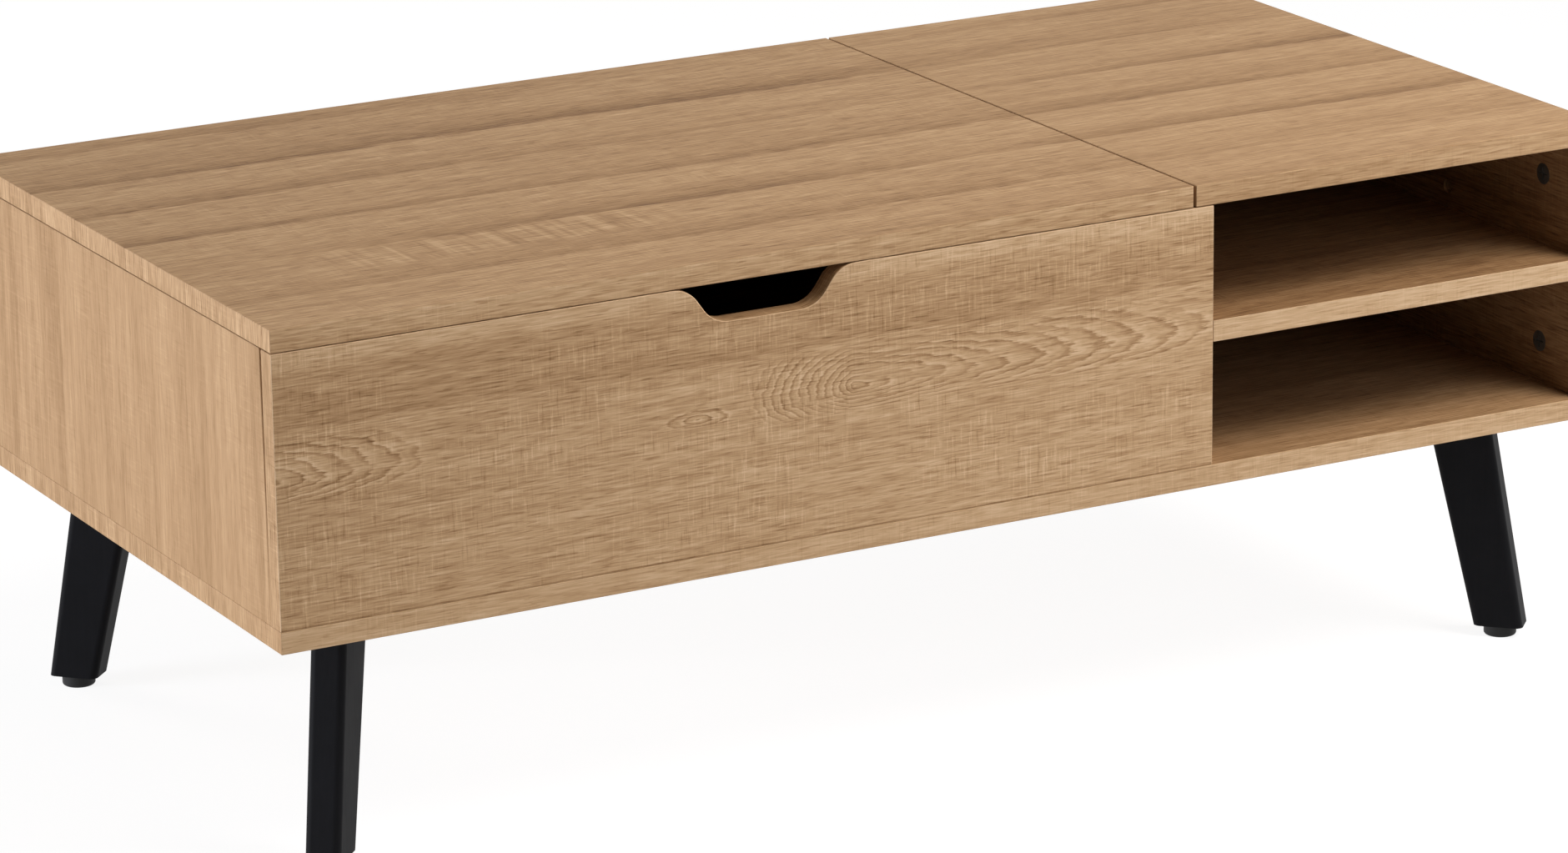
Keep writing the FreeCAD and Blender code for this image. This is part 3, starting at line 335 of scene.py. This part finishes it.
# Oak foil: the shadow of the joint below a face to the front, by height above the board's lower edge
JOINT_SHADOW = (0.0016, 0.0006)


def joint_shadow(shader, spot, height):
    above = shader.math("ADD", spot.across, height)
    return shader.product(shader.ease(above, *JOINT_SHADOW), spot.to_front)


# Oak foil: the boards
# Each board has its own grain and shift of the foil, and its own strength of fibres, growth bands and saw
# marks. Its tone can rise along the grain by a slope per metre. Then comes its painted light and shade: how
# much lighter it is painted to the front and back and at its ends, the painted shade on faces to the inside
# of the table, the painted highlight on round edges and the painted shadow at the joint below its front.
Board = namedtuple(
    "Board", "grain shift fibre band saw tone slope front end inside rim joint stripes nests rays")
PLAIN = Board(
    grain=LENGTHWISE, shift=(0.0, 0.0), fibre=1.0, band=0.6, saw=0.8, tone=0.0, slope=0.0, front=0.15,
    end=0.0, inside=0.0, rim=0.0, joint=0.0, stripes=(), nests=(), rays=())

FRONT_NESTS = (
    Nest(along=-0.515, across=-0.082, stretch=3.4, lean=1.0, eye=0.0, ring=0.0048, reach=0.046),
    Nest(along=-0.205, across=-0.088, stretch=5.0, lean=1.0, eye=0.006, ring=0.0035, reach=0.014),
    Nest(along=-0.090, across=-0.083, stretch=7.5, lean=4.0, eye=0.008, ring=0.0036, reach=0.058),
)
FRONT_STRIPES = (
    Stripe(across=-0.036, half=0.036, tone=-0.075),
    Stripe(across=0.0, half=0.016, tone=0.13),
)
TOP_RAYS = (Rays(along=-0.285, across=-0.128, length=0.16, width=0.032, slant=0.08),)

# Both tops are cut from one sheet, so the figure runs on across their seam
TOP_SHIFT = (0.0, 0.0065)

BOARDS = {
    "lift_top": PLAIN._replace(
        shift=TOP_SHIFT, fibre=1.3, band=0.95, saw=0.7, tone=-0.01, front=0.18, rays=TOP_RAYS),
    "fixed_top": PLAIN._replace(shift=TOP_SHIFT, band=0.9, saw=0.6, tone=-0.01),
    # The darker tone, undone on faces to the front and at the ends, is painted shade in the notch
    "front_panel": PLAIN._replace(
        shift=(7.1, 0.83), fibre=1.25, band=0.35, saw=1.8, tone=-0.13, slope=0.08, front=0.28, end=0.13,
        # A painted highlight on round edges and a painted shadow at the joint below the front
        rim=0.35, joint=-0.35, stripes=FRONT_STRIPES, nests=FRONT_NESTS),
    "back_panel": PLAIN._replace(shift=(11.3, 1.27)),
    # Painted light on the bottom panel's front edge and painted shade on its faces to the inside
    "bottom_panel": PLAIN._replace(shift=(15.9, 1.71), band=0.3, tone=-0.03, front=0.22, inside=-0.14),
    # Darker all over as painted shade inside the shelves, with painted light on its front edge
    "middle_shelf": PLAIN._replace(shift=(19.3, 2.13), band=0.3, tone=-0.30, front=0.58),
    "left_side_panel": PLAIN._replace(
        grain=UPRIGHT, shift=(23.1, 2.69), fibre=0.5, band=1.3, saw=0.6, tone=-0.06),
    "divider_panel": PLAIN._replace(grain=CROSSWISE, shift=(27.7, 3.11)),
    # Painted shade on the right side panel's face to the inside of the table
    "right_side_panel": PLAIN._replace(grain=CROSSWISE, shift=(31.9, 3.57), inside=-0.33),
}

# The oak's shades from dark to light, and how much each kind of mark moves the wood along them, from 0 to 1
OAK_SHADES = (
    (0.125, 0.065, 0.028),
    (0.190, 0.098, 0.043),
    (0.265, 0.146, 0.066),
    (0.350, 0.205, 0.096),
    (0.435, 0.264, 0.132),
    (0.515, 0.325, 0.171),
    (0.600, 0.396, 0.218),
    (0.680, 0.468, 0.273),
    (0.755, 0.540, 0.335),
)
BASE_SHADE = 0.19
TONE_SHADE = 0.19
STREAK_SHADE = 0.65
FIBRE_SHADE = 0.72
PORE_SHADE = -0.14
BAND_SHADE = -0.30
SAW_SHADE = 0.11
RING_SHADE = -0.25
FLECK_SHADE = 0.13

# How deep the oak's relief is, in metres, and the share of it that each kind of mark is raised or sunk
OAK_RELIEF = 0.00010
FIBRE_RELIEF = 0.5
PORE_RELIEF = -0.5
SAW_RELIEF = 0.10
RING_RELIEF = -0.2
OAK_ROUGHNESS = 0.54
STREAK_ROUGHNESS = 0.12
OAK_SHINE = 0.12


def make_oak(name, board):
    """A board's own cut of the foil, with painted light and shade by the way its faces look."""
    shader = Shader(bpy.data.materials.new(name))
    low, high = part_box(name)
    spot = board_spot(shader, board.grain, high[2])
    shifted_across = shader.math("ADD", spot.across, board.shift[1])
    place = shader.join(shader.math("ADD", spot.along, board.shift[0]), shifted_across)

    streaks = shader.noise(place, STREAKS)
    fibres = shader.noise(place, FIBRES)
    pores = shader.ease(shader.noise(place, PORES), *PORE_EDGE)
    bands = growth_bands(shader, place, shifted_across, streaks, spot.to_end)
    saw = saw_marks(shader, place)
    stripes = shader.total(
        0.0, *((stripe_cover(shader, spot, stripe), stripe.tone) for stripe in board.stripes))
    rings = shader.total(
        0.0, *((nest_rings(shader, spot, place, fibres, nest), 1.0) for nest in board.nests))
    flecks = shader.total(0.0, *((ray_flecks(shader, spot, rays), 1.0) for rays in board.rays))

    shade = shader.total(
        BASE_SHADE + board.tone,
        (spot.along, board.slope),
        # Painted light and shade: fronts, backs and ends lighter, the inside darker, round edges lit, joints
        # shadowed
        (spot.to_front, board.front),
        (spot.to_end, board.end),
        (spot.inside, board.inside),
        (spot.rim, board.rim),
        (joint_shadow(shader, spot, high[2] - low[2]), board.joint),
        (stripes, spot.to_front),
        (shader.noise(place, TONES), TONE_SHADE),
        (streaks, STREAK_SHADE),
        (shader.math("SUBTRACT", fibres, NOISE_MIDDLE), FIBRE_SHADE * board.fibre),
        (pores, PORE_SHADE * board.fibre),
        (bands, BAND_SHADE * board.band),
        (saw, SAW_SHADE * board.saw),
        (rings, RING_SHADE),
        (flecks, FLECK_SHADE),
    )
    height = shader.total(
        0.0,
        (fibres, FIBRE_RELIEF),
        (pores, PORE_RELIEF),
        (saw, SAW_RELIEF * board.saw),
        (rings, RING_RELIEF),
    )
    roughness = shader.total(OAK_ROUGHNESS, (streaks, STREAK_ROUGHNESS))
    return shader.surface(shader.colours(shade, OAK_SHADES), roughness, height, OAK_RELIEF, OAK_SHINE)


# Plain finishes
# Each has two shades that mottle it, its least and greatest roughness, the cycles per metre of its fine
# relief sideways and upwards, and the relief's depth in metres.
Finish = namedtuple("Finish", "shades rough cycles depth metal shine")
FINISHES = {
    "black_lacquered_wood": Finish(
        shades=((0.005, 0.005, 0.0057), (0.009, 0.009, 0.0105)),
        rough=(0.46, 0.58), cycles=(420.0, 12.0), depth=0.00005, metal=0.0, shine=0.06),
    "black_plastic": Finish(
        shades=((0.007, 0.007, 0.007), (0.013, 0.013, 0.013)),
        rough=(0.5, 0.62), cycles=(1400.0, 1400.0), depth=0.00003, metal=0.0, shine=0.25),
    "black_coated_steel": Finish(
        shades=((0.016, 0.016, 0.017), (0.026, 0.026, 0.028)),
        rough=(0.40, 0.52), cycles=(900.0, 900.0), depth=0.00004, metal=0.0, shine=0.4),
    "zinc_plated_steel": Finish(
        shades=((0.52, 0.52, 0.50), (0.66, 0.66, 0.66)),
        rough=(0.28, 0.42), cycles=(260.0, 260.0), depth=0.00001, metal=1.0, shine=0.5),
    "spring_steel": Finish(
        shades=((0.34, 0.34, 0.35), (0.48, 0.48, 0.48)),
        rough=(0.26, 0.38), cycles=(700.0, 700.0), depth=0.00001, metal=1.0, shine=0.5),
    # Darker than zinc alloy is: painted shade of the recesses that the cams sit in
    "zinc_alloy": Finish(
        shades=((0.17, 0.16, 0.145), (0.27, 0.255, 0.23)),
        rough=(0.42, 0.56), cycles=(500.0, 500.0), depth=0.00002, metal=1.0, shine=0.5),
    "beech": Finish(
        shades=((0.52, 0.33, 0.18), (0.66, 0.46, 0.28)),
        rough=(0.55, 0.68), cycles=(900.0, 60.0), depth=0.00005, metal=0.0, shine=0.3),
    "nylon": Finish(
        shades=((0.66, 0.65, 0.60), (0.76, 0.75, 0.71)),
        rough=(0.40, 0.50), cycles=(600.0, 600.0), depth=0.00001, metal=0.0, shine=0.4),
}
CLOUD_CYCLES = 45.0
CLOUD_DETAIL = 3.0
RELIEF_DETAIL = 2.0
MOTTLE_BASE = -0.3
CLOUD_MOTTLE = 0.9
RELIEF_MOTTLE = 0.7


def make_finish(name, finish):
    shader = Shader(bpy.data.materials.new(name))
    place = shader.node("TexCoord", {}).outputs["Object"]
    sideways, upwards = finish.cycles
    spread = shader.vector("MULTIPLY", place, (sideways, sideways, upwards))
    cloud_inputs = {"Vector": place, "Scale": CLOUD_CYCLES, "Detail": CLOUD_DETAIL}
    cloud = shader.node("TexNoise", cloud_inputs).outputs["Fac"]
    relief_inputs = {"Vector": spread, "Scale": 1.0, "Detail": RELIEF_DETAIL}
    relief = shader.node("TexNoise", relief_inputs).outputs["Fac"]
    mottle = shader.total(MOTTLE_BASE, (cloud, CLOUD_MOTTLE), (relief, RELIEF_MOTTLE))
    least, greatest = finish.rough
    roughness = shader.total(least, (cloud, greatest - least))
    colour = shader.colours(mottle, finish.shades)
    return shader.surface(colour, roughness, relief, finish.depth, finish.shine, finish.metal)


def dress_nodes():
    """Gives each board its own cut of the oak foil and every other node the finish of its slot."""
    finishes = {slot: make_finish(slot, finish) for slot, finish in FINISHES.items()}
    for subpart in frame["record"]["subparts"]:
        name = subpart["node"]
        material = make_oak(name, BOARDS[name]) if name in BOARDS else finishes[subpart["material_slot"]]
        for slot in frame["nodes"][name].material_slots:
            slot.material = material
    return finishes


# Tension springs
# The shortest span is the one from post to post with the top raised.
COIL_RADIUS = 0.0055
LOOP_RADIUS = 0.0044
WIRE_RADIUS = 0.0010
COIL_TURNS = 22
STEPS_PER_TURN = 28
WIRE_SIDES = 10
COIL_AXIS = Vector((0.0, 1.0, 0.0))
LOOP_AXIS = Vector((1.0, 0.0, 0.0))


def sweep_wire(name, points, axis, closed=False):
    """A round wire along points that turn about the axis."""
    mesh = bmesh.new()
    rings = []
    count = len(points)
    for index, point in enumerate(points):
        after = points[(index + 1) % count] if closed else points[min(index + 1, count - 1)]
        before = points[index - 1] if closed else points[max(index - 1, 0)]
        forward = (after - before).normalized()
        side = forward.cross(axis).normalized()
        lift = forward.cross(side)
        ring = []
        for step in range(WIRE_SIDES):
            turn = 2 * math.pi * step / WIRE_SIDES
            around = math.cos(turn) * side + math.sin(turn) * lift
            ring.append(mesh.verts.new(point + WIRE_RADIUS * around))
        rings.append(ring)
    pairs = list(zip(rings, rings[1:]))
    if closed:
        pairs.append((rings[-1], rings[0]))
    for first, second in pairs:
        for step in range(WIRE_SIDES):
            follow = (step + 1) % WIRE_SIDES
            mesh.faces.new((first[step], first[follow], second[follow], second[step]))
    if not closed:
        mesh.faces.new(rings[0][::-1])
        mesh.faces.new(rings[-1])
    bmesh.ops.recalc_face_normals(mesh, faces=mesh.faces)
    data = bpy.data.meshes.new(name)
    mesh.to_mesh(data)
    mesh.free()
    data.shade_smooth()
    piece = bpy.data.objects.new(name, data)
    bpy.context.scene.collection.objects.link(piece)
    return piece


def coil_points(hook, anchor):
    """A helix along y between the two loops, with room to shorten without reaching them."""
    room = 2 * LOOP_RADIUS
    start = hook.y + room
    length = anchor.y - room - start
    count = COIL_TURNS * STEPS_PER_TURN
    points = []
    for step in range(count + 1):
        turn = 2 * math.pi * step / STEPS_PER_TURN
        around = COIL_RADIUS * Vector((math.sin(turn), 0.0, math.cos(turn)))
        points.append(Vector((hook.x, start + length * step / count, hook.z)) + around)
    return points


def loop_points(centre):
    """A ring round a post, in the spring's own plane."""
    turns = [2 * math.pi * step / STEPS_PER_TURN for step in range(STEPS_PER_TURN)]
    return [centre + LOOP_RADIUS * Vector((0.0, math.sin(turn), math.cos(turn))) for turn in turns]


def add_spring(side, material):
    """Winds a spring where the CAD spring lies, between the arm's post and the bracket's."""
    arm = f"{side}_rear_arm"
    low, high = (Vector(corner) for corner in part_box(f"{side}_lift_spring"))
    middle = (low + high) / 2
    loop_reach = LOOP_RADIUS + WIRE_RADIUS
    hook = Vector((middle.x, low.y + loop_reach, middle.z))
    anchor = Vector((middle.x, high.y - loop_reach, middle.z))
    coil = sweep_wire(f"{side}_spring_coil", coil_points(hook, anchor), COIL_AXIS)
    front = sweep_wire(f"{side}_spring_front_loop", loop_points(hook), LOOP_AXIS, closed=True)
    rear = sweep_wire(f"{side}_spring_rear_loop", loop_points(anchor), LOOP_AXIS, closed=True)
    for piece, body in ((coil, "carcass"), (front, arm), (rear, "carcass")):
        piece.data.materials.append(material)
        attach(piece, body)
    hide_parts(f"{side}_lift_spring")
    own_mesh(coil)


# Floor and backdrop
# Where it is seen, the floor glows white, with a share of plain grey that takes the shadows. Towards the
# table it is pale grey. The backdrop is white where it is seen and else gives a weak ambient light.
FLOOR_SIZE = 40.0
FLOOR_PALE = (0.8, 0.8, 0.8, 1.0)
FLOOR_SHADED = (0.22, 0.22, 0.22, 1.0)
FLOOR_GLOW = 0.90
AMBIENT = 0.07


def seen_directly(shader):
    """1 for rays that show the background: straight to the camera, or by way of metal or glass."""
    path = shader.node("LightPath", {}).outputs
    mirrored = shader.math("MAXIMUM", path["Is Glossy Ray"], path["Is Transmission Ray"])
    return shader.math("MAXIMUM", path["Is Camera Ray"], mirrored)


def add_floor():
    mesh = bpy.data.meshes.new("floor")
    half = FLOOR_SIZE / 2
    corners = [(-half, -half, 0.0), (half, -half, 0.0), (half, half, 0.0), (-half, half, 0.0)]
    mesh.from_pydata(corners, [], [(0, 1, 2, 3)])
    floor = bpy.data.objects.new("floor", mesh)
    bpy.context.scene.collection.objects.link(floor)
    shader = Shader(bpy.data.materials.new("floor"))
    pale = shader.node("BsdfDiffuse", {"Color": FLOOR_PALE}).outputs[0]
    shaded = shader.node("BsdfDiffuse", {"Color": FLOOR_SHADED}).outputs[0]
    glow = shader.node("Emission", {"Color": WHITE, "Strength": FLOOR_GLOW}).outputs[0]
    white = shader.node("AddShader", {0: shaded, 1: glow}).outputs[0]
    chosen = shader.node("MixShader", {0: seen_directly(shader), 1: pale, 2: white}).outputs[0]
    shader.node("OutputMaterial", {"Surface": chosen})
    mesh.materials.append(shader.owner)


def set_world():
    shader = Shader(bpy.data.worlds.new("studio"))
    inputs = {"Value": seen_directly(shader), "To Min": AMBIENT, "To Max": 1.0}
    strength = shader.node("MapRange", inputs).outputs["Result"]
    backdrop = shader.node("Background", {"Color": WHITE, "Strength": strength}).outputs[0]
    shader.node("OutputWorld", {"Surface": backdrop})
    bpy.context.scene.world = shader.owner


# Camera and lamps, at a turn from the front, positive to the right, and a rise above the floor
CAMERA_TARGET = Vector((-0.02082, -0.02707, 0.17960))
CAMERA_TURN = math.radians(-28.5466)
CAMERA_RISE = math.radians(16.8536)
CAMERA_ROLL = math.radians(-0.7643)
CAMERA_DISTANCE = 4.28906
CAMERA_LENS = 143.42
SENSOR_WIDTH = 36.0

# A lamp's turn and rise are in degrees, its distance and size in metres and its power in watts
Lamp = namedtuple("Lamp", "name turn rise distance size power colour")
COOL = (0.96, 1.0, 1.12)
WARM = (1.03, 0.97, 0.92)
LAMPS = (
    Lamp("left_lamp", turn=-102.0, rise=9.0, distance=6.0, size=2.5, power=280.0, colour=COOL),
    Lamp("front_lamp", turn=45.0, rise=50.0, distance=2.8, size=1.6, power=54.0, colour=WARM),
    Lamp("low_lamp", turn=30.0, rise=20.0, distance=2.8, size=1.6, power=11.0, colour=COOL),
    Lamp("back_lamp", turn=-155.0, rise=14.0, distance=6.0, size=2.5, power=90.0, colour=WARM),
)


def heading(turn, rise):
    """Direction from the object to something at a turn from the front and a rise above the floor."""
    level = math.cos(rise)
    return Vector((math.sin(turn) * level, -math.cos(turn) * level, math.sin(rise)))


def add_lamps():
    for lamp in LAMPS:
        data = bpy.data.lights.new(lamp.name, "AREA")
        data.shape = "DISK"
        data.size = lamp.size
        data.energy = lamp.power
        data.color = lamp.colour
        light = bpy.data.objects.new(lamp.name, data)
        direction = heading(math.radians(lamp.turn), math.radians(lamp.rise))
        light.location = CAMERA_TARGET + lamp.distance * direction
        light.rotation_euler = direction.to_track_quat("Z", "Y").to_euler()
        bpy.context.scene.collection.objects.link(light)


def add_camera():
    back = heading(CAMERA_TURN, CAMERA_RISE)
    level = Vector((math.cos(CAMERA_TURN), math.sin(CAMERA_TURN), 0.0))
    right = math.cos(CAMERA_ROLL) * level + math.sin(CAMERA_ROLL) * back.cross(level)
    turn = Matrix((right, back.cross(right), back)).transposed()
    data = bpy.data.cameras.new("camera")
    data.sensor_width = SENSOR_WIDTH
    data.sensor_fit = "HORIZONTAL"
    data.lens = CAMERA_LENS
    camera = bpy.data.objects.new("camera", data)
    camera.matrix_world = Matrix.Translation(CAMERA_TARGET + CAMERA_DISTANCE * back) @ turn.to_4x4()
    bpy.context.scene.collection.objects.link(camera)
    bpy.context.scene.camera = camera


finishes = dress_nodes()
for side in ("left", "right"):
    add_spring(side, finishes["spring_steel"])
add_floor()
set_world()
add_lamps()
add_camera()
bpy.context.scene.view_settings.view_transform = "Standard"

bpy.context.view_layer.update()
